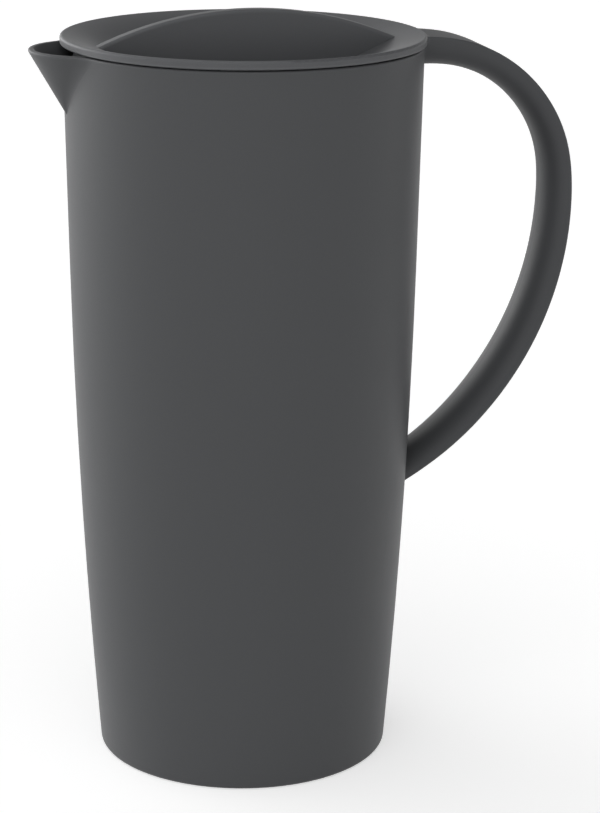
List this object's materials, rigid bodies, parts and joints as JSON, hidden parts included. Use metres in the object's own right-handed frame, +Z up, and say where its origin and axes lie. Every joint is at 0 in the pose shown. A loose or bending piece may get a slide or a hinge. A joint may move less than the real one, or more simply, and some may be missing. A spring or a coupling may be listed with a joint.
{
  "type": "serving jug",
  "caption": "Tall tapered serving jug with a beak spout, a strap handle and a dished plug-in lid with an arched grip fin.",
  "frame": {"origin": "centre of the flat base on the body's axis, in the plane that the jug stands on", "axes": "+Z up along the body's axis, +X toward the handle, -X toward the spout, +Y along the width"},
  "size_m": [0.1826, 0.12, 0.2542],
  "materials": {
    "jug_body": "fine matt moulded",
    "handle": "fine matt moulded",
    "lid_cover": "fine matt moulded",
    "lid_insert": "fine matt moulded",
    "lid_seal": "soft matt"
  },
  "bodies": {
    "jug": {"jug_body": "jug_body", "handle": "handle"},
    "seal": {"lid_seal": "lid_seal"},
    "lid": {"lid_cover": "lid_cover", "lid_insert": "lid_insert"}
  },
  "joints": [
    {"name": "lid_lift", "type": "slide", "parent": "jug", "child": "seal", "axis": [0, 0, 1], "range_m": [0, 0.06]},
    {"name": "lid_turn", "type": "hinge", "parent": "seal", "child": "lid", "pos_m": [0, 0, 0.24], "axis": [0, 0, 1], "continuous": true}
  ]
}
